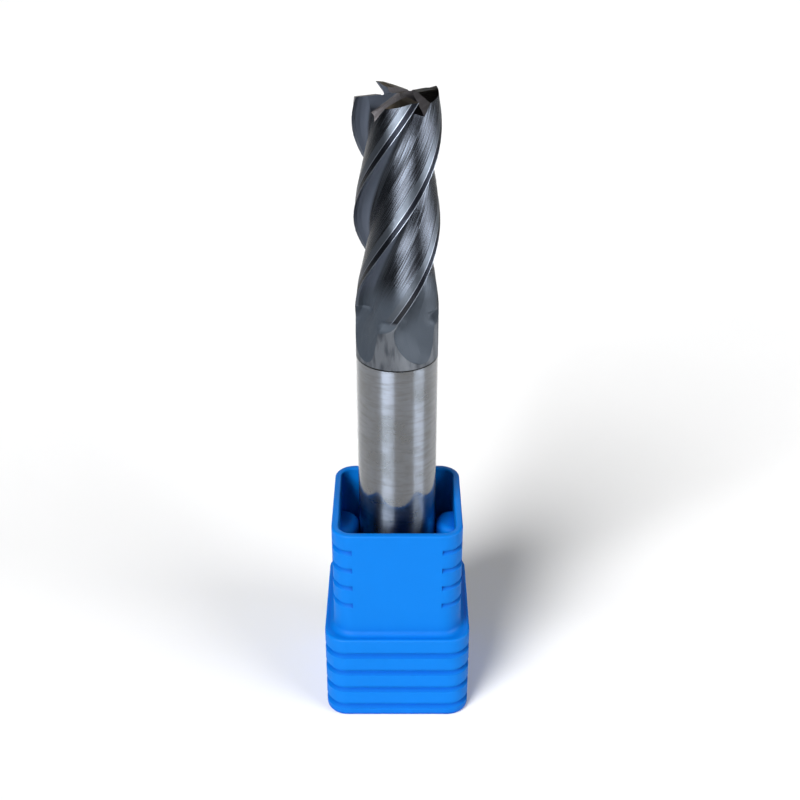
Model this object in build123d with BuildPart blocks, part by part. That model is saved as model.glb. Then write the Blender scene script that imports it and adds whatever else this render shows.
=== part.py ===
"""Four-flute solid carbide end mill standing in the base of its square storage tube.

Millimetres, +Z up. The tool's axis is the Z axis, and Z = 0 is the surface the base
stands on. The cutting end points up, the plain shank stands in the base.
"""

from math import atan2, cos, degrees, pi, radians, sin, tan
import os

from build123d import *

# ---- end mill: body ---------------------------------------------------------------
shank_diameter = 9.525
cutter_diameter = 9.525
overall_length = 76.2
shank_chamfer = 0.5

# ---- end mill: flutes, with angles counted round the section from a cutting edge ----
flute_count = 4
helix_angle = 35.0
first_tooth_angle = 28.6
full_flute_length = 24.4
rake_angle = 8.0
rake_depth = 0.9
gullet_diameter = 6.3
gullet_angle = 5.0
core_diameter = 5.8
floor_angle = 21.0
floor_end_diameter = 7.16
floor_end_angle = 41.0
heel_diameter = 7.96
heel_angle = 55.0
relief_width_angle = 19.0
relief_back_drop = 0.32
land_width_angle = 5.5
land_drop = 0.11
margin_angle = 0.4

# ---- end mill: run-out of the flutes into the plain cylinder ------------------------
run_out_length = 5.7
run_out_middle = 54.0
run_out_straightening = 2.6
run_out_tip = 0.1
run_out_overrun = 0.04
run_out_rest = 0.01
relief_run_out = 1.6
back_rise = 1.5
gullet_rise = 3.0
run_out_sections = 10

# ---- end mill: end teeth ----------------------------------------------------------
dish_angle = 1.5
end_relief_angle = 7.0
end_clearance_angle = 18.0
end_land_width = 0.8
gash_slope = 30.0
gash_rake = 8.0
gash_width = 1.75
gash_flare = 30.0
long_tooth_overlap = 0.12
short_tooth_gap = 0.35

# ---- storage base: outside ----------------------------------------------------------
side_count = 4
base_height = 27.5
foot_width = 18.2
foot_height = 12.5
foot_corner_radius = 2.7
foot_edge_radius = 0.6
ledge_width = 1.15
ledge_edge_radius = 0.3
neck_corner_radius = 2.5
neck_root_radius = 0.7
rim_edge_radius = 0.25

# ---- storage base: finger grooves round the foot ------------------------------------
groove_count = 4
first_groove_top = 2.27
groove_pitch = 2.77
groove_depth = 0.45
groove_floor_height = 0.7
groove_slope_height = 0.3

# ---- storage base: notches on the neck's corners, which the tube's lid clicks into ----
notch_count = 4
notch_top_below_rim = 2.05
notch_pitch = 2.66
notch_depth = 0.35
notch_floor_height = 0.5
notch_slope_height = 0.3

# ---- storage base: inside -----------------------------------------------------------
wall_thickness = 0.85
floor_thickness = 2.3
rib_top_below_rim = 3.0
rib_top_radius = 0.8
rib_round_share = 0.4  # the most of a rib's own radius that its top's round takes
shank_clearance = 0.03

# ---- worked out from the sizes above ------------------------------------------------
cutter_radius = cutter_diameter / 2
tip_height = floor_thickness + overall_length
helix_lead = pi * cutter_diameter / tan(radians(helix_angle))
tooth_pitch = 360 / flute_count
ground_angle = tooth_pitch - relief_width_angle
collar_height = tip_height - full_flute_length
neck_height = base_height - foot_height
neck_width = foot_width - 2 * ledge_width
neck_corner = neck_width / 2 - neck_corner_radius
cavity_width = neck_width - 2 * wall_thickness
cavity_corner_radius = neck_corner_radius - wall_thickness
rib_radius = cavity_width / 2 - shank_diameter / 2 - shank_clearance
rib_top = base_height - rib_top_below_rim
rib_round = min(rib_top_radius, rib_round_share * rib_radius)
cut_over = 1.5  # how far cutting shapes stand clear of the body they cut


def polar(radius, angle):
    """A point in the plane of the section, at an angle in degrees."""
    return Vector(radius * cos(radians(angle)), radius * sin(radians(angle)))


def tooth_turn(depth):
    """The azimuth of the first cutting edge at a depth below the end teeth."""
    helical = min(depth, full_flute_length)
    into_run_out = min(max(depth - full_flute_length, 0), run_out_straightening)
    slowed = into_run_out - into_run_out**2 / (2 * run_out_straightening)
    return first_tooth_angle - 360 / helix_lead * (helical + slowed)


def flute_plane(depth):
    """The plane of one flute section, with x towards the cutting edge."""
    return Plane(
        origin=(0, 0, tip_height - depth),
        x_dir=polar(1, tooth_turn(depth)),
        z_dir=(0, 0, 1),
    )


def faded(depth_in, angle, kept, narrowed, overrun):
    """A point of the flute's outline, which the run-out narrows, flattens and lifts."""
    half_width = ground_angle / 2
    turned = run_out_middle + (angle - run_out_middle) * narrowed
    off_middle = (angle - half_width) * narrowed
    flat = 1 - cos(radians(half_width * narrowed)) / cos(radians(off_middle))
    flattened = depth_in * kept + cutter_radius * flat * (1 - kept)
    return polar(cutter_radius - flattened + overrun, turned)


# ---- the outline that the wheel grinds out between two cutting edges, down its run-out -
outer_radius = cutter_radius + cut_over
rake_foot = Vector(cutter_radius, 0) - polar(rake_depth, rake_angle)
rake_foot_angle = degrees(atan2(rake_foot.Y, rake_foot.X))
land_start = tooth_pitch - land_width_angle
margin_start = tooth_pitch - margin_angle
flute_sections = []
flute_depths = []
for i in range(run_out_sections):
    stage = radians(90 * i / (run_out_sections - 1))
    fade = sin(stage)
    narrowed = run_out_tip + (1 - run_out_tip) * cos(stage)
    over = run_out_overrun * fade
    back_kept = max((1 - fade) ** back_rise, run_out_rest)
    gullet_kept = max((1 - fade) ** gullet_rise, run_out_rest)
    relief_kept = max(1 - (fade * run_out_length / relief_run_out) ** 2, run_out_rest)
    rake_end_angle = rake_foot_angle * gullet_kept + gullet_angle / 2 * (1 - gullet_kept)
    relief = relief_back_drop * relief_kept
    land = land_drop * relief_kept
    rake_top = faded(-cut_over, 0, 1, narrowed, over)
    edge = faded(0, 0, 1, narrowed, over)
    rake_end = faded(
        cutter_radius - rake_foot.length, rake_end_angle, gullet_kept, narrowed, over
    )
    gullet = faded(
        cutter_radius - gullet_diameter / 2, gullet_angle, gullet_kept, narrowed, over
    )
    floor_start = faded(
        cutter_radius - core_diameter / 2, floor_angle, gullet_kept, narrowed, over
    )
    floor_end = faded(
        cutter_radius - floor_end_diameter / 2, floor_end_angle, back_kept, narrowed, over
    )
    heel = faded(cutter_radius - heel_diameter / 2, heel_angle, back_kept, narrowed, over)
    relief_back = faded(relief, ground_angle, 1, narrowed, over)
    relief_middle = faded(
        (relief + land) / 2, (ground_angle + land_start) / 2, 1, narrowed, over
    )
    land_back = faded(land, land_start, 1, narrowed, over)
    land_middle = faded(land / 2, (land_start + margin_start) / 2, 1, narrowed, over)
    margin_back = faded(0, margin_start, 1, narrowed, over)
    outside_end = faded(-cut_over, margin_start, 1, narrowed, over)
    outside_middle = faded(-cut_over, tooth_pitch / 2, 1, narrowed, over)
    with BuildSketch() as flute_section:
        with BuildLine():
            Line(rake_top, edge)
            Line(edge, rake_end)
            ThreePointArc(rake_end, gullet, floor_start)
            Line(floor_start, floor_end)
            ThreePointArc(floor_end, heel, relief_back)
            ThreePointArc(relief_back, relief_middle, land_back)
            ThreePointArc(land_back, land_middle, margin_back)
            Line(margin_back, outside_end)
            ThreePointArc(outside_end, outside_middle, rake_top)
        make_face()
    flute_sections.append(flute_section.sketch)
    flute_depths.append(full_flute_length + run_out_length * fade)

# ---- the fluted length: its section, turned evenly up the helix -----------------------
with BuildSketch() as tooth_section:
    Circle(cutter_radius)
    with PolarLocations(0, flute_count):
        add(flute_sections[0], mode=Mode.SUBTRACT)
fluted_length = Solid.extrude_linear_with_rotation(
    flute_plane(full_flute_length).location * tooth_section.sketch.faces()[0],
    center=(0, 0, collar_height),
    normal=(0, 0, full_flute_length),
    angle=360 * full_flute_length / helix_lead,
)

# ---- the end of a flute, where the wheel lifts out of the cylinder --------------------
with BuildPart() as run_out:
    for section, depth in zip(flute_sections, flute_depths):
        with BuildSketch(flute_plane(depth)):
            add(section)
    loft()

# ---- what is ground away over the end teeth, with x along a tooth's end edge -----------
centre_drop = cutter_radius * tan(radians(dish_angle))
end_land_drop = end_land_width * tan(radians(end_relief_angle))
back_drop = end_land_drop + outer_radius * tan(radians(end_clearance_angle))
end_centre = Vector(0, 0, tip_height - centre_drop)
along_edge = Vector(1, 0, tan(radians(dish_angle)))

with BuildPart() as end_relief:
    with BuildSketch(Plane(origin=end_centre, x_dir=(0, 1, 0), z_dir=(1, 0, 0))):
        Polygon(
            (0, 0),
            (0, cut_over),
            (-end_land_width - outer_radius, cut_over),
            (-end_land_width - outer_radius, -back_drop),
            (-end_land_width, -end_land_drop),
        )
    extrude(amount=outer_radius, dir=along_edge)


def gash_plane(start):
    """The plane square to a gash's bottom line, with x away from the rake face."""
    down_rake = Vector(0, -tan(radians(gash_rake)), -1)
    sink = tan(radians(gash_slope)) + tan(radians(dish_angle))
    outward = (along_edge + down_rake * sink).normalized()
    return Plane(
        origin=end_centre + along_edge * start - outward * cut_over,
        x_dir=along_edge.cross(down_rake),
        z_dir=outward,
    )


gash_top = gash_width + outer_radius * tan(radians(gash_flare + gash_rake))
with BuildSketch() as gash_section:
    Polygon((0, 0), (gash_width, 0), (gash_top, outer_radius), (0, outer_radius))

with BuildPart() as long_gash:
    with BuildSketch(gash_plane(-long_tooth_overlap)):
        add(gash_section.sketch)
    extrude(amount=2 * outer_radius)

with BuildPart() as short_gash:
    with BuildSketch(gash_plane(short_tooth_gap)):
        add(gash_section.sketch)
    extrude(amount=2 * outer_radius)

# ---- end mill: one ground piece, from the chamfered shank up to the end teeth ---------
with BuildPart() as end_mill:
    with BuildSketch(Plane.XY.offset(floor_thickness)):
        Circle(shank_diameter / 2)
    extrude(amount=collar_height - floor_thickness)
    chamfer(end_mill.edges().sort_by(Axis.Z)[0], shank_chamfer)
    with PolarLocations(0, flute_count):
        add(run_out.part, mode=Mode.SUBTRACT)
    add(fluted_length)
    with PolarLocations(0, flute_count, start_angle=first_tooth_angle):
        add(end_relief.part, mode=Mode.SUBTRACT)
    with PolarLocations(0, flute_count // 2, start_angle=first_tooth_angle):
        add(long_gash.part, mode=Mode.SUBTRACT)
    with PolarLocations(0, flute_count // 2, start_angle=first_tooth_angle + tooth_pitch):
        add(short_gash.part, mode=Mode.SUBTRACT)
end_mill.part.label = "end_mill"

# ---- one quarter of the finger grooves, carried round a corner of the foot ------------
foot_half = foot_width / 2
foot_corner = foot_half - foot_corner_radius
with BuildPart() as foot_grooves:
    with BuildLine():
        Line((foot_half, 0), (foot_half, foot_corner))
        CenterArc((foot_corner, foot_corner), foot_corner_radius, 0, 90)
        Line((foot_corner, foot_half), (0, foot_half))
    with BuildSketch(Plane.XZ):
        with GridLocations(0, groove_pitch, 1, groove_count, align=(Align.CENTER, Align.MIN)):
            with Locations((foot_half, first_groove_top)):
                Polygon(
                    (-groove_depth, 0),
                    (cut_over, 0),
                    (cut_over, -groove_floor_height - groove_slope_height),
                    (0, -groove_floor_height - groove_slope_height),
                    (-groove_depth, -groove_floor_height),
                )
    sweep()

# ---- the notches round one corner of the neck, each turned about the corner's centre --
with BuildPart() as corner_notches:
    with BuildSketch(Plane.XZ.offset(-neck_corner)):
        with GridLocations(0, notch_pitch, 1, notch_count, align=(Align.CENTER, Align.MAX)):
            with Locations((neck_width / 2, base_height - notch_top_below_rim)):
                Polygon(
                    (-notch_depth, 0),
                    (cut_over, 0),
                    (cut_over, -notch_floor_height - notch_slope_height),
                    (0, -notch_floor_height - notch_slope_height),
                    (-notch_depth, -notch_floor_height),
                )
    revolve(axis=Axis((neck_corner, neck_corner, 0), (0, 0, 1)), revolution_arc=90)

# ---- storage base: one moulding, with a ribbed socket that stands the shank upright ---
with BuildPart() as storage_base:
    with BuildSketch():
        RectangleRounded(foot_width, foot_width, foot_corner_radius)
    extrude(amount=foot_height)
    fillet(storage_base.faces().sort_by(Axis.Z)[0].edges(), foot_edge_radius)
    fillet(storage_base.faces().sort_by(Axis.Z)[-1].edges(), ledge_edge_radius)
    with BuildSketch(Plane.XY.offset(foot_height)):
        RectangleRounded(neck_width, neck_width, neck_corner_radius)
    extrude(amount=neck_height)
    fillet(storage_base.edges(Select.LAST).group_by(Axis.Z)[0], neck_root_radius)
    with PolarLocations(0, side_count):
        add(foot_grooves.part, mode=Mode.SUBTRACT)
        add(corner_notches.part, mode=Mode.SUBTRACT)
    with BuildSketch(Plane.XY.offset(floor_thickness)):
        RectangleRounded(cavity_width, cavity_width, cavity_corner_radius)
        with PolarLocations(cavity_width / 2, side_count):
            Circle(rib_radius, mode=Mode.SUBTRACT)
    extrude(amount=rib_top - floor_thickness, mode=Mode.SUBTRACT)
    with BuildSketch(Plane.XY.offset(rib_top)):
        RectangleRounded(cavity_width, cavity_width, cavity_corner_radius)
    extrude(amount=rib_top_below_rim, mode=Mode.SUBTRACT)
    rib_tops = storage_base.faces().filter_by_position(Axis.Z, rib_top, rib_top)
    fillet(rib_tops.edges().filter_by(GeomType.CIRCLE), rib_round)
    fillet(storage_base.faces().sort_by(Axis.Z)[-1].edges(), rim_edge_radius)
storage_base.part.label = "storage_base"

os.makedirs("parts", exist_ok=True)
export_step(end_mill.part, "parts/end_mill.step")
export_step(storage_base.part, "parts/storage_base.step")
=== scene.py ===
"""An end mill standing in the base of its storage tube, on a pale studio table.

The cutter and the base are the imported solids. This script gives them their finishes and
sets up the table, the lights and the camera round them. Everything is in metres, apart from
the finishes of the cutter, which are laid out in millimetres and degrees.
"""

import logging
import math
from dataclasses import dataclass, field
from enum import Enum
from typing import Any

import bpy
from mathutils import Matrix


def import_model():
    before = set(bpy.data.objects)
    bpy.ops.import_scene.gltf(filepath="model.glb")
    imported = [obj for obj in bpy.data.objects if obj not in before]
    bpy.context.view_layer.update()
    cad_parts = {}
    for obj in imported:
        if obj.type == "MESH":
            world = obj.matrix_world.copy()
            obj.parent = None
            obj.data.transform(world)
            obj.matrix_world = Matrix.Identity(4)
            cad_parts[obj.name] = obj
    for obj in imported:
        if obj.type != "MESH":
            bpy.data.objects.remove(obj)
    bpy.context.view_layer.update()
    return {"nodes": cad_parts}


LOG = logging.getLogger("end_mill")
MM = 0.001

Colour = tuple[float, float, float, float]
Point = tuple[float, float, float]
Fade = tuple[float, float]
Socket = Any


class Sum(Enum):
    """The sums that a Math node can work out."""

    ADD = "ADD"
    SUBTRACT = "SUBTRACT"
    MULTIPLY = "MULTIPLY"
    MULTIPLY_ADD = "MULTIPLY_ADD"
    MAXIMUM = "MAXIMUM"
    ABSOLUTE = "ABSOLUTE"
    SQUARE_ROOT = "SQRT"
    ARC_TANGENT = "ARCTAN2"
    REMAINDER = "FLOORED_MODULO"


def srgb(red: int, green: int, blue: int) -> Colour:
    """Turns a display colour into the linear colour that shaders take.

    Args:
        red: Red, 0 to 255.
        green: Green, 0 to 255.
        blue: Blue, 0 to 255.

    Returns:
        The linear colour, with an alpha of 1.
    """

    def linear(level: int) -> float:
        """Returns one channel in linear light."""
        part = level / 255
        return part / 12.92 if part <= 0.04045 else ((part + 0.055) / 1.055) ** 2.4

    return (linear(red), linear(green), linear(blue), 1.0)


@dataclass(frozen=True)
class Pattern:
    """A noise: how fine it is, how many finer layers it has, and its rate along Z."""

    scale: float
    detail: float
    along: float = 1.0


class NodeBench:
    """Builds a material's node tree, one short call per node."""

    def __init__(self, name: str) -> None:
        """Starts a material with one Principled shader.

        Args:
            name: The material's name.
        """
        self.material = bpy.data.materials.new(name)
        self.material.use_nodes = True
        self.tree = self.material.node_tree
        self.shader = self.tree.nodes["Principled BSDF"]

    def node(self, kind: str, **settings: Any) -> Any:
        """Adds a node.

        Args:
            kind: The node's type.
            **settings: Its properties, by name.

        Returns:
            The new node.
        """
        new = self.tree.nodes.new(kind)
        for key, value in settings.items():
            setattr(new, key, value)
        return new

    def feed(self, target: Socket, value: Any) -> None:
        """Links an output to an input, or sets the input to a plain value.

        Args:
            target: The input.
            value: An output's socket, or the value to set.
        """
        if isinstance(value, bpy.types.NodeSocket):
            self.tree.links.new(value, target)
        else:
            target.default_value = value

    def give(self, name: str, value: Any) -> None:
        """Feeds the shader's input of that name."""
        self.feed(self.shader.inputs[name], value)

    def math(self, operation: Sum, *values: Any, clamp: bool = False) -> Socket:
        """Adds a Math node.

        Args:
            operation: The sum that it works out.
            *values: Its inputs, as sockets or numbers.
            clamp: Whether the result is held between 0 and 1.

        Returns:
            The result's socket.
        """
        new = self.node("ShaderNodeMath", operation=operation.value, use_clamp=clamp)
        for index, value in enumerate(values):
            self.feed(new.inputs[index], value)
        return new.outputs[0]

    def times(self, first: Any, second: Any) -> Socket:
        """Returns the product of two numbers."""
        return self.math(Sum.MULTIPLY, first, second)

    def less(self, first: Any, second: Any) -> Socket:
        """Returns the first number less the second."""
        return self.math(Sum.SUBTRACT, first, second)

    def opposite(self, share: Socket) -> Socket:
        """Returns 1 less a share."""
        return self.less(1.0, share)

    def away(self, value: Socket, middle: float) -> Socket:
        """Returns how far a value is from a middle one, either way."""
        return self.math(Sum.ABSOLUTE, self.less(value, middle))

    def raise_by(self, share: Socket, amount: float, start: Any) -> Socket:
        """Returns a start that grows by the amount as a share goes to 1."""
        return self.math(Sum.MULTIPLY_ADD, share, amount, start)

    def blend(self, share: Socket, first: Socket, second: Socket) -> Socket:
        """Returns a number that goes from the first to the second as a share goes to 1."""
        return self.math(Sum.MULTIPLY_ADD, share, self.less(second, first), first)

    def ramp(self, value: Socket, fade: Fade) -> Socket:
        """Adds a smooth step from 0 to 1.

        Args:
            value: The number that it follows.
            fade: Where the step starts and where it ends.

        Returns:
            The step's socket.
        """
        new = self.node("ShaderNodeMapRange", interpolation_type="SMOOTHSTEP")
        self.feed(new.inputs["Value"], value)
        new.inputs["From Min"].default_value = fade[0]
        new.inputs["From Max"].default_value = fade[1]
        return new.outputs["Result"]

    def mix(self, share: Any, first: Any, second: Any) -> Socket:
        """Mixes two colours.

        Args:
            share: 0 for the first colour, 1 for the second.
            first: A colour or a socket.
            second: A colour or a socket.

        Returns:
            The mixed colour's socket.
        """
        new = self.node("ShaderNodeMix", data_type="RGBA")
        self.feed(new.inputs[0], share)
        self.feed(new.inputs[6], first)
        self.feed(new.inputs[7], second)
        return new.outputs[2]

    def vector(self, x: Any, y: Any, z: Any) -> Socket:
        """Makes a vector of three numbers.

        Args:
            x: A number or a socket.
            y: A number or a socket.
            z: A number or a socket.

        Returns:
            The vector's socket.
        """
        new = self.node("ShaderNodeCombineXYZ")
        for socket, value in zip(new.inputs, (x, y, z)):
            self.feed(socket, value)
        return new.outputs[0]

    def noise(self, vector: Socket, pattern: Pattern) -> Socket:
        """Adds a noise.

        Args:
            vector: Where it is read.
            pattern: Its fineness and detail.

        Returns:
            The socket of its strength, from 0 to 1.
        """
        new = self.node("ShaderNodeTexNoise")
        self.feed(new.inputs["Vector"], vector)
        new.inputs["Scale"].default_value = pattern.scale
        new.inputs["Detail"].default_value = pattern.detail
        return new.outputs["Fac"]

    def bump(self, height: Socket, strength: float, distance: float) -> Socket:
        """Roughens the surface by a pattern.

        Args:
            height: The pattern.
            strength: How much of it shows, 0 to 1.
            distance: The height of its full strength.

        Returns:
            The roughened normal's socket.
        """
        new = self.node("ShaderNodeBump")
        new.inputs["Strength"].default_value = strength
        new.inputs["Distance"].default_value = distance
        self.feed(new.inputs["Height"], height)
        return new.outputs["Normal"]

    def parts(self, vector: Socket) -> tuple[Socket, Socket, Socket]:
        """Splits a vector.

        Args:
            vector: The vector's socket.

        Returns:
            The sockets of its X, Y and Z.
        """
        split = self.node("ShaderNodeSeparateXYZ")
        self.feed(split.inputs[0], vector)
        return split.outputs[0], split.outputs[1], split.outputs[2]

    def place(self) -> Socket:
        """Returns the object's own coordinates."""
        return self.node("ShaderNodeTexCoord").outputs["Object"]

    def upward(self) -> Socket:
        """Returns how far a face looks up, as its normal's Z."""
        return self.parts(self.node("ShaderNodeTexCoord").outputs["Normal"])[2]


@dataclass(frozen=True)
class BluePlastic:
    """Moulded plastic, a little glossy, with a faint mould texture and painted shade in its
    grooves and nooks.
    """

    colour: Colour = srgb(2, 113, 205)
    # Painted shade: ambient occlusion mixes this colour in where grooves, notches and corners
    # hide the light.
    shade: Colour = srgb(0, 80, 178)
    cloud: Pattern = Pattern(90.0, 3.0)
    cloud_darkness: float = 0.9
    nook_reach: float = 2.0 * MM
    nook_samples: int = 8
    nook_fade: Fade = (0.4, 0.95)
    roughness: float = 0.5
    roughness_play: float = 0.1
    specular: float = 0.06
    grain: Pattern = Pattern(2600.0, 2.0)
    grain_strength: float = 0.15
    grain_depth: float = 0.04 * MM

    def material(self) -> bpy.types.Material:
        """Builds the plastic, with painted shade darkening its grooves and nooks.

        Returns:
            The material.
        """
        bench = NodeBench("blue_plastic")
        place = bench.place()
        deep = tuple(self.cloud_darkness * part for part in self.colour[:3]) + (1.0,)
        even = bench.mix(bench.noise(place, self.cloud), deep, self.colour)
        # Painted shade: the ambient occlusion below darkens the colour towards the shade colour
        # in grooves and nooks.
        nook = bench.node("ShaderNodeAmbientOcclusion", samples=self.nook_samples)
        nook.inputs["Distance"].default_value = self.nook_reach
        openness = bench.ramp(nook.outputs["AO"], self.nook_fade)
        bench.give("Base Color", bench.mix(openness, self.shade, even))
        grain = bench.noise(place, self.grain)
        smoothest = self.roughness - self.roughness_play / 2
        bench.give("Roughness", bench.raise_by(grain, self.roughness_play, smoothest))
        bench.give("Normal", bench.bump(grain, self.grain_strength, self.grain_depth))
        bench.give("Specular IOR Level", self.specular)
        return bench.material


@dataclass(frozen=True)
class Helix:
    """The flutes' twist, which the grinding marks follow."""

    tip: float = 78.5
    first_edge: float = 28.6
    turn_per_mm: float = 8.424
    teeth: int = 4

    def behind_edge(self, bench: NodeBench, x: Socket, y: Socket, depth: Socket) -> Socket:
        """Works out the angle from the last cutting edge, in degrees.

        Args:
            bench: The material's node tree.
            x: The object's X.
            y: The object's Y.
            depth: The depth below the end teeth, in millimetres.

        Returns:
            The angle's socket, from 0 at one edge up to the next edge.
        """
        azimuth = bench.times(bench.math(Sum.ARC_TANGENT, y, x), math.degrees(1.0))
        twisted = bench.raise_by(depth, self.turn_per_mm, azimuth)
        turned = bench.math(Sum.ADD, twisted, 720.0 - self.first_edge)
        return bench.math(Sum.REMAINDER, turned, 360.0 / self.teeth)


@dataclass(frozen=True)
class Spot:
    """Where a point lies on the cutter, as sockets.

    The place and its X, Y and Z are in metres. The height above the table, the depth below
    the end teeth and the radius are in millimetres, and the angle behind the last cutting
    edge is in degrees.
    """

    place: Socket
    x: Socket
    y: Socket
    z: Socket
    height: Socket
    depth: Socket
    radius: Socket
    behind: Socket


@dataclass(frozen=True)
class Zones:
    """How far a point is in each zone of the cutter, as sockets from 0 to 1."""

    coat: Socket
    ring: Socket
    run_out: Socket
    rake: Socket
    gash: Socket
    end: Socket


@dataclass(frozen=True)
class CutterFinish:
    """Bare ground carbide on the shank and a dark coating over the cutting end.

    Depths below the end teeth and radii are in millimetres. Angles are in degrees behind a
    cutting edge.
    """

    bare: Colour = srgb(82, 86, 94)
    bare_warm: Colour = srgb(56, 60, 64)
    flute: Colour = srgb(56, 60, 67)
    flute_deep: Colour = srgb(24, 26, 29)
    run_out: Colour = srgb(61, 68, 77)
    relief: Colour = srgb(62, 67, 74)
    # Painted shade: a near-black colour on the narrow lands just before each cutting edge stands
    # in for their dark reflection.
    land_painted_shade: Colour = srgb(20, 22, 27)
    # Painted highlight: a light colour drawn as two thin lines beside each cutting edge, where
    # the edges catch the light.
    edge_painted_highlight: Colour = srgb(104, 110, 120)
    # Painted reflection: the rake faces get this lighter blue-grey in place of their reflection
    # of the lit table and the blue base.
    rake: Colour = srgb(83, 90, 103)
    collar: Colour = srgb(91, 95, 101)
    gash: Colour = srgb(73, 71, 73)
    end_face: Colour = srgb(40, 35, 28)
    ring: Colour = srgb(10, 11, 13)

    radius: float = 4.7625
    coating_edge: float = 47.98
    coating_blur: float = 0.03
    ring_fade: Fade = (0.05, 0.11)
    run_out_fade: Fade = (19.5, 23.5)
    collar_fade: Fade = (24.4, 25.0)
    near_end_fade: Fade = (3.4, 3.6)
    gash_tilt: Fade = (0.6, 0.62)
    end_tilt: Fade = (0.9, 0.92)
    full_radius_gap: Fade = (0.03, 0.01)
    rim_shares: Fade = (0.92, 0.925)
    rake_rim: Fade = (4.36, 4.4)
    tooth_middle: float = 45.0
    rake_fade: Fade = (33.0, 41.0)
    relief_fade: Fade = (70.7, 71.3)
    relief_rough_fade: Fade = (70.0, 72.0)
    line_fade: Fade = (80.4, 80.9)
    land_fade: Fade = (81.4, 82.0)
    edge_fade: Fade = (88.8, 89.3)

    marks: Pattern = Pattern(1.0, 3.0, 160.0)
    marks_across: float = 8.0 * math.radians(4.0)
    marks_fade: Fade = (0.3, 0.7)
    rings: Pattern = Pattern(1.0, 1.0, 9000.0)
    rings_share: float = 0.06
    marks_depth: float = 0.045 * MM
    smear: Pattern = Pattern(420.0, 3.0, 5.0)
    smear_fade: Fade = (0.4, 0.8)
    cloud: Pattern = Pattern(260.0, 3.0)
    cloud_fade: Fade = (0.35, 0.7)
    streaks: Pattern = Pattern(1500.0, 3.0, 0.25)
    streaks_fade: Fade = (0.4, 0.75)

    flute_rough: float = 0.18
    flute_rough_play: float = 0.12
    relief_rough: float = 0.07
    matt_rough: float = 0.28
    bare_rough: float = 0.32
    bare_rough_play: float = 0.08
    film: float = 0.8
    film_specular: float = 0.1
    brushing: float = 1.0
    brushing_turn: float = 0.25
    polish_index: float = 2.1
    polish_rough: float = 0.1
    polish_tint: Colour = (0.9, 0.95, 1.0, 1.0)
    helix: Helix = field(default_factory=Helix)

    def material(self) -> bpy.types.Material:
        """Builds the two finishes, one above the other.

        Returns:
            The material.
        """
        bench = NodeBench("ground_carbide")
        spot = self.locate(bench)
        zones = self.divide(bench, spot)
        across = bench.times(spot.behind, self.marks_across)
        along = bench.times(spot.z, self.marks.along)
        marks = bench.noise(bench.vector(across, along, 0.0), self.marks)
        smear = self.drawn_out(bench, spot, self.smear)
        bare = self.shank_colour(bench, spot, smear)
        coated = self.coated_colour(bench, spot, zones, marks)
        colour = bench.mix(zones.ring, bench.mix(zones.coat, bare, coated), self.ring)
        bench.give("Base Color", colour)
        self.set_gloss(bench, spot, zones, marks, smear)
        self.set_marks(bench, spot, zones, marks)
        self.set_polish(bench, zones)
        return bench.material

    def locate(self, bench: NodeBench) -> Spot:
        """Works out where a point lies on the cutter.

        Args:
            bench: The material's node tree.

        Returns:
            The point's place, depth, radius and angle.
        """
        place = bench.place()
        x, y, z = bench.parts(place)
        height = bench.times(z, 1 / MM)
        depth = bench.less(self.helix.tip, height)
        squares = bench.math(Sum.ADD, bench.times(x, x), bench.times(y, y))
        radius = bench.times(bench.math(Sum.SQUARE_ROOT, squares), 1 / MM)
        behind = self.helix.behind_edge(bench, x, y, depth)
        return Spot(place, x, y, z, height, depth, radius, behind)

    def divide(self, bench: NodeBench, spot: Spot) -> Zones:
        """Divides the cutter into its zones.

        Args:
            bench: The material's node tree.
            spot: Where a point lies.

        Returns:
            How far the point is in each zone.
        """
        low, high = self.coating_edge - self.coating_blur, self.coating_edge + self.coating_blur
        from_edge = bench.away(spot.height, self.coating_edge)
        from_middle = bench.away(spot.behind, self.tooth_middle)
        near_end = bench.opposite(bench.ramp(spot.depth, self.near_end_fade))
        facing = bench.upward()
        return Zones(
            coat=bench.ramp(spot.height, (low, high)),
            ring=bench.opposite(bench.ramp(from_edge, self.ring_fade)),
            run_out=bench.ramp(spot.depth, self.run_out_fade),
            rake=bench.ramp(from_middle, self.rake_fade),
            gash=bench.times(bench.ramp(facing, self.gash_tilt), near_end),
            end=bench.times(bench.ramp(facing, self.end_tilt), near_end),
        )

    def drawn_out(self, bench: NodeBench, spot: Spot, pattern: Pattern) -> Socket:
        """Returns a noise that is drawn out along the axis or round it."""
        stretched = bench.vector(spot.x, spot.y, bench.times(spot.z, pattern.along))
        return bench.noise(stretched, pattern)

    def shank_colour(self, bench: NodeBench, spot: Spot, smear: Socket) -> Socket:
        """Works out the colour of the bare shank, cloudy and faintly banded.

        Args:
            bench: The material's node tree.
            spot: Where a point lies.
            smear: A noise drawn out round the shank.

        Returns:
            The colour's socket.
        """
        cloud = bench.ramp(bench.noise(spot.place, self.cloud), self.cloud_fade)
        tint = bench.mix(cloud, self.bare, self.bare_warm)
        return bench.mix(bench.ramp(smear, self.smear_fade), tint, self.bare_warm)

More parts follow.
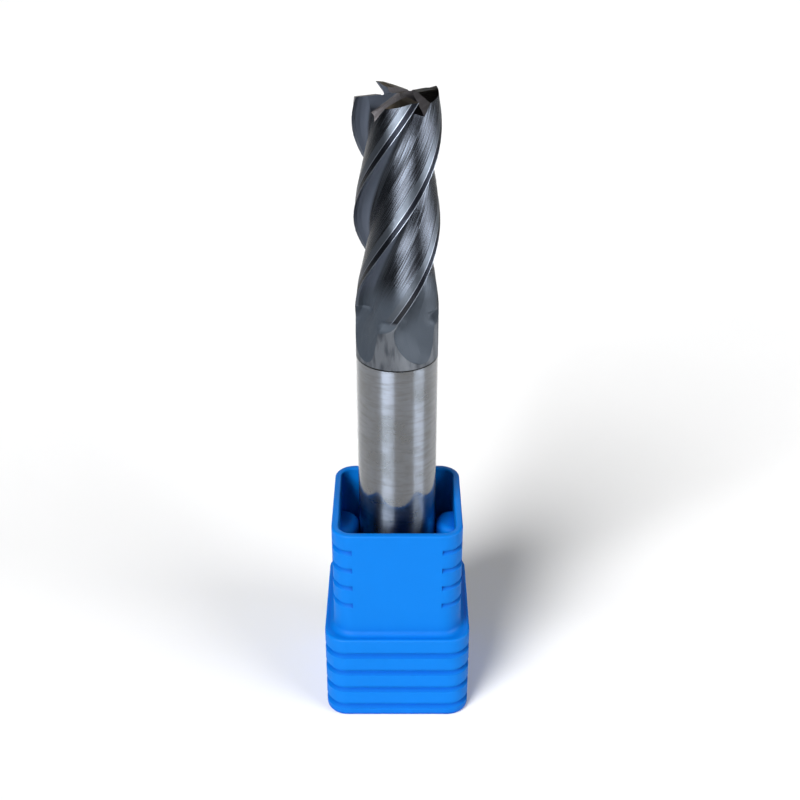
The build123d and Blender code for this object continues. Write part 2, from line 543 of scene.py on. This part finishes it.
    def coated_colour(
        self, bench: NodeBench, spot: Spot, zones: Zones, marks: Socket
    ) -> Socket:
        """Works out the coating's colour on each of the ground faces, with painted highlight
        lines beside the cutting edges, painted shade on the lands and a painted reflection on
        the rake faces.

        Args:
            bench: The material's node tree.
            spot: Where a point lies.
            zones: How far it is in each zone.
            marks: The grinding marks along the flutes.

        Returns:
            The colour's socket.
        """
        below = bench.ramp(spot.depth, self.collar_fade)
        rim = (self.rim_shares[0] * self.radius, self.rim_shares[1] * self.radius)
        outside = bench.times(bench.ramp(spot.radius, rim), bench.opposite(below))
        ground = bench.mix(bench.ramp(marks, self.marks_fade), self.flute_deep, self.flute)
        flutes = bench.mix(zones.run_out, ground, self.run_out)
        in_rake = bench.times(zones.rake, bench.opposite(zones.run_out))
        # Painted reflection on the rake faces: a lighter blue-grey stands in for what they
        # reflect.
        colour = bench.mix(in_rake, flutes, self.rake)
        # Lays the relief colour, then a painted highlight line, the painted shade of the lands
        # and a painted highlight line at the cutting edge.
        for fade, layer in (
            (self.relief_fade, self.relief),
            (self.line_fade, self.edge_painted_highlight),
            (self.land_fade, self.land_painted_shade),
            (self.edge_fade, self.edge_painted_highlight),
        ):
            in_layer = bench.times(bench.ramp(spot.behind, fade), outside)
            colour = bench.mix(in_layer, colour, layer)
        full = (self.radius - self.full_radius_gap[0], self.radius - self.full_radius_gap[1])
        on_collar = bench.times(bench.ramp(spot.radius, full), below)
        streaks = bench.ramp(self.drawn_out(bench, spot, self.streaks), self.streaks_fade)
        collar = bench.mix(streaks, self.collar, self.flute)
        sides = bench.mix(on_collar, colour, collar)
        gashed = bench.mix(zones.gash, sides, self.gash)
        return bench.mix(zones.end, gashed, self.end_face)

    def set_gloss(
        self, bench: NodeBench, spot: Spot, zones: Zones, marks: Socket, smear: Socket
    ) -> None:
        """Sets how metallic and how rough each zone is.

        Args:
            bench: The material's node tree.
            spot: Where a point lies.
            zones: How far it is in each zone.
            marks: The grinding marks along the flutes.
            smear: A noise drawn out round the shank.
        """
        in_rake = bench.times(zones.rake, bench.opposite(bench.ramp(spot.radius, self.rake_rim)))
        faces = bench.math(Sum.MAXIMUM, zones.run_out, in_rake)
        dull = bench.times(faces, bench.opposite(zones.gash))
        bench.give("Metallic", bench.raise_by(bench.times(dull, zones.coat), -self.film, 1.0))
        bench.give("Specular IOR Level", self.film_specular)
        matt = bench.math(Sum.MAXIMUM, dull, zones.gash)
        on_relief = bench.ramp(spot.behind, self.relief_rough_fade)
        flutes = bench.raise_by(marks, self.flute_rough_play, self.flute_rough)
        sides = bench.raise_by(on_relief, self.relief_rough, flutes)
        coated = bench.raise_by(matt, self.matt_rough, sides)
        bare = bench.raise_by(smear, self.bare_rough_play, self.bare_rough)
        bench.give("Roughness", bench.blend(zones.coat, bare, coated))

    def set_marks(self, bench: NodeBench, spot: Spot, zones: Zones, marks: Socket) -> None:
        """Sets the grinding marks, along the flutes and round the shank.

        Args:
            bench: The material's node tree.
            spot: Where a point lies.
            zones: How far it is in each zone.
            marks: The grinding marks along the flutes.
        """
        climb = bench.times(spot.z, self.rings.along)
        rings = bench.noise(bench.vector(0.0, 0.0, climb), self.rings)
        height = bench.blend(zones.coat, bench.times(rings, self.rings_share), marks)
        bench.give("Normal", bench.bump(height, 1.0, self.marks_depth))
        twist = math.radians(self.helix.turn_per_mm) / MM
        turned_x = bench.times(spot.y, -twist)
        turned_y = bench.times(spot.x, twist)
        bench.give("Tangent", bench.vector(turned_x, turned_y, zones.coat))
        bench.give("Anisotropic", self.brushing)
        bench.give("Anisotropic Rotation", self.brushing_turn)

    def set_polish(self, bench: NodeBench, zones: Zones) -> None:
        """Sets the bare shank's crisp reflection, over its brushed one.

        Args:
            bench: The material's node tree.
            zones: How far a point is in each zone.
        """
        clear = bench.math(Sum.SUBTRACT, bench.opposite(zones.coat), zones.ring, clamp=True)
        bench.give("Coat Weight", clear)
        bench.give("Coat IOR", self.polish_index)
        bench.give("Coat Roughness", self.polish_rough)
        bench.give("Coat Tint", self.polish_tint)


def dress(piece: bpy.types.Object, material: bpy.types.Material) -> None:
    """Gives a piece one material all over.

    Args:
        piece: The piece.
        material: Its material.
    """
    if not piece.material_slots:
        piece.data.materials.append(material)
    for holder in piece.material_slots:
        holder.material = material


@dataclass
class StorageBase:
    """The moulded base of the tube."""

    node: str = "storage_base"
    finish: BluePlastic = field(default_factory=BluePlastic)

    def build(self, nodes: dict[str, bpy.types.Object]) -> None:
        """Dresses the base's solid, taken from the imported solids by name."""
        dress(nodes[self.node], self.finish.material())
        LOG.info("%s dressed", self.node)


@dataclass
class EndMill:
    """The cutter."""

    node: str = "end_mill"
    finish: CutterFinish = field(default_factory=CutterFinish)

    def build(self, nodes: dict[str, bpy.types.Object]) -> None:
        """Dresses the cutter's solid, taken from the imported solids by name."""
        dress(nodes[self.node], self.finish.material())
        LOG.info("%s dressed", self.node)


@dataclass(frozen=True)
class BroadLight:
    """A large, distant studio light. Its angles are in degrees."""

    name: str
    azimuth: float
    elevation: float
    spread: float
    strength: float

    def build(self) -> None:
        """Adds the light, turned down towards the table."""
        light = bpy.data.lights.new(self.name, "SUN")
        light.energy = self.strength
        light.angle = math.radians(self.spread)
        lamp = bpy.data.objects.new(self.name, light)
        lamp.rotation_euler = (
            math.radians(90.0 - self.elevation),
            0.0,
            math.radians(self.azimuth),
        )
        bpy.context.scene.collection.objects.link(lamp)


@dataclass(frozen=True)
class SoftBox:
    """An upright rectangular light that faces the tool and shows only in reflections."""

    name: str
    azimuth: float
    distance: float
    width: float
    height: float
    power: float
    foot: float = 5 * MM

    def build(self) -> None:
        """Adds the light, just above the table."""
        turn = math.radians(self.azimuth)
        light = bpy.data.lights.new(self.name, "AREA")
        light.shape = "RECTANGLE"
        light.size = self.width
        light.size_y = self.height
        light.energy = self.power
        lamp = bpy.data.objects.new(self.name, light)
        lamp.location = (
            self.distance * math.sin(turn),
            -self.distance * math.cos(turn),
            self.height / 2 + self.foot,
        )
        lamp.rotation_euler = (math.pi / 2, 0.0, turn)
        lamp.visible_camera = False
        lamp.visible_diffuse = False
        bpy.context.scene.collection.objects.link(lamp)


@dataclass
class Studio:
    """The table, the lights and the camera."""

    table_width: float = 6.0
    table_pale: Colour = srgb(246, 246, 246)
    table_white: Colour = srgb(250, 250, 250)
    table_mottle: Pattern = Pattern(30.0, 2.0)
    table_roughness: float = 0.9
    wall_radius: float = 2.8
    wall_height: float = 3.0
    wall_facets: int = 96
    camera_place: Point = (0.345 * MM, -126.06 * MM, 112.68 * MM)
    camera_pitch: float = 29.39
    camera_near: float = 5 * MM
    lens: float = 54.8
    lens_film: float = 36.0
    sky: float = 0.05
    sky_colour: Colour = (0.96, 0.98, 1.0, 1.0)
    lights: tuple[BroadLight | SoftBox, ...] = (
        BroadLight("left", -35.0, 38.0, 28.0, 4.0),
        BroadLight("right", 57.0, 38.0, 28.0, 1.25),
        SoftBox("left_box", -25.0, 0.5, 0.28, 0.24, 5.4),
        SoftBox("right_box", 61.0, 0.5, 0.28, 0.24, 4.6),
        SoftBox("back_box", 178.0, 0.5, 0.26, 0.24, 0.9),
    )

    def build(self) -> None:
        """Sets up the studio round the object."""
        self.lay_table()
        self.hang_backdrop()
        for light in self.lights:
            light.build()
        self.light_room()
        self.stand_camera()
        LOG.info("studio set up")

    def lay_table(self) -> None:
        """Adds the pale table that the base stands on."""
        bpy.ops.object.select_all(action="DESELECT")
        bpy.ops.mesh.primitive_plane_add(size=self.table_width, location=(0, 0, 0))
        table = bpy.context.object
        table.name = "table"
        bench = NodeBench("table_white")
        mottle = bench.noise(bench.place(), self.table_mottle)
        bench.give("Base Color", bench.mix(mottle, self.table_pale, self.table_white))
        bench.give("Roughness", self.table_roughness)
        dress(table, bench.material)

    def hang_backdrop(self) -> None:
        """Hangs a plain white cloth round the table, seen only behind the object."""
        bpy.ops.object.select_all(action="DESELECT")
        bpy.ops.mesh.primitive_cylinder_add(
            vertices=self.wall_facets,
            radius=self.wall_radius,
            depth=self.wall_height,
            end_fill_type="NOTHING",
            location=(0, 0, 0),
        )
        cloth = bpy.context.object
        cloth.name = "backdrop"
        bench = NodeBench("backdrop_white")
        bench.give("Base Color", (0.0, 0.0, 0.0, 1.0))
        bench.give("Specular IOR Level", 0.0)
        bench.give("Emission Color", (1.0, 1.0, 1.0, 1.0))
        bench.give("Emission Strength", 1.0)
        dress(cloth, bench.material)
        cloth.visible_glossy = False
        cloth.visible_diffuse = False
        cloth.visible_shadow = False

    def light_room(self) -> None:
        """Fills the room with even light."""
        world = bpy.data.worlds.new("room")
        world.use_nodes = True
        glow = world.node_tree.nodes["Background"]
        glow.inputs["Color"].default_value = self.sky_colour
        glow.inputs["Strength"].default_value = self.sky
        bpy.context.scene.world = world

    def stand_camera(self) -> None:
        """Adds the camera, level from side to side and tilted down."""
        eye = bpy.data.cameras.new("camera")
        eye.lens = self.lens
        eye.sensor_width = self.lens_film
        eye.clip_start = self.camera_near
        stand = bpy.data.objects.new("camera", eye)
        stand.location = self.camera_place
        stand.rotation_euler = (math.radians(90.0 - self.camera_pitch), 0.0, 0.0)
        bpy.context.scene.collection.objects.link(stand)
        bpy.context.scene.camera = stand


def main() -> None:
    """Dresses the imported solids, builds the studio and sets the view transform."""
    logging.basicConfig(level=logging.INFO, format="%(name)s: %(message)s")
    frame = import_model()
    StorageBase().build(frame["nodes"])
    EndMill().build(frame["nodes"])
    Studio().build()
    bpy.context.scene.view_settings.view_transform = "Standard"


if __name__ == "__main__":
    main()
